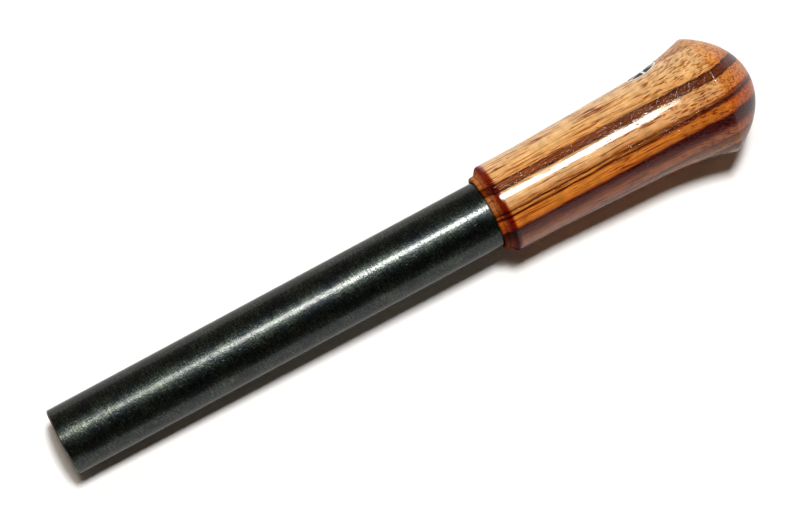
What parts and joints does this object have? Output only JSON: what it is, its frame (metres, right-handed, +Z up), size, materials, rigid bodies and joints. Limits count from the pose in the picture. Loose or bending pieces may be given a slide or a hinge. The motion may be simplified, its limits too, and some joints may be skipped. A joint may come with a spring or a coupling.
{
  "type": "ring mandrel",
  "caption": "Plain round blackened-steel mandrel for forming finger rings, with a turned zebrano handle and a small inlaid metal medallion.",
  "frame": {"origin": "bottom centre of the bounding box, on the surface the tool lies on at rest", "axes": "+X runs from the bar's tip to the handle's dome and is the longest extent; the tool's own axis leans up from it by 2.2 degrees, because the handle's ridge is wider than the bar; +Z up"},
  "size_m": [0.2106, 0.0344, 0.0343],
  "materials": {
    "black_oxide_steel": "black oxide, oiled, satin",
    "zinc_plated_steel": "zinc plated",
    "turned_brass": "turned",
    "lacquered_zebrano": "turned zebrano under clear gloss lacquer",
    "cast_white_metal": "cast and polished",
    "dark_enamel": "cold enamel, glossy"
  },
  "bodies": {
    "root": {"mandrel_bar": "black_oxide_steel", "joining_stud": "zinc_plated_steel", "handle_insert": "turned_brass", "handle": "lacquered_zebrano", "medallion_plate": "cast_white_metal", "enamel_field_1": "dark_enamel", "enamel_field_2": "dark_enamel", "enamel_field_3": "dark_enamel", "enamel_field_4": "dark_enamel", "enamel_field_5": "dark_enamel", "enamel_field_6": "dark_enamel"}
  },
  "joints": []
}
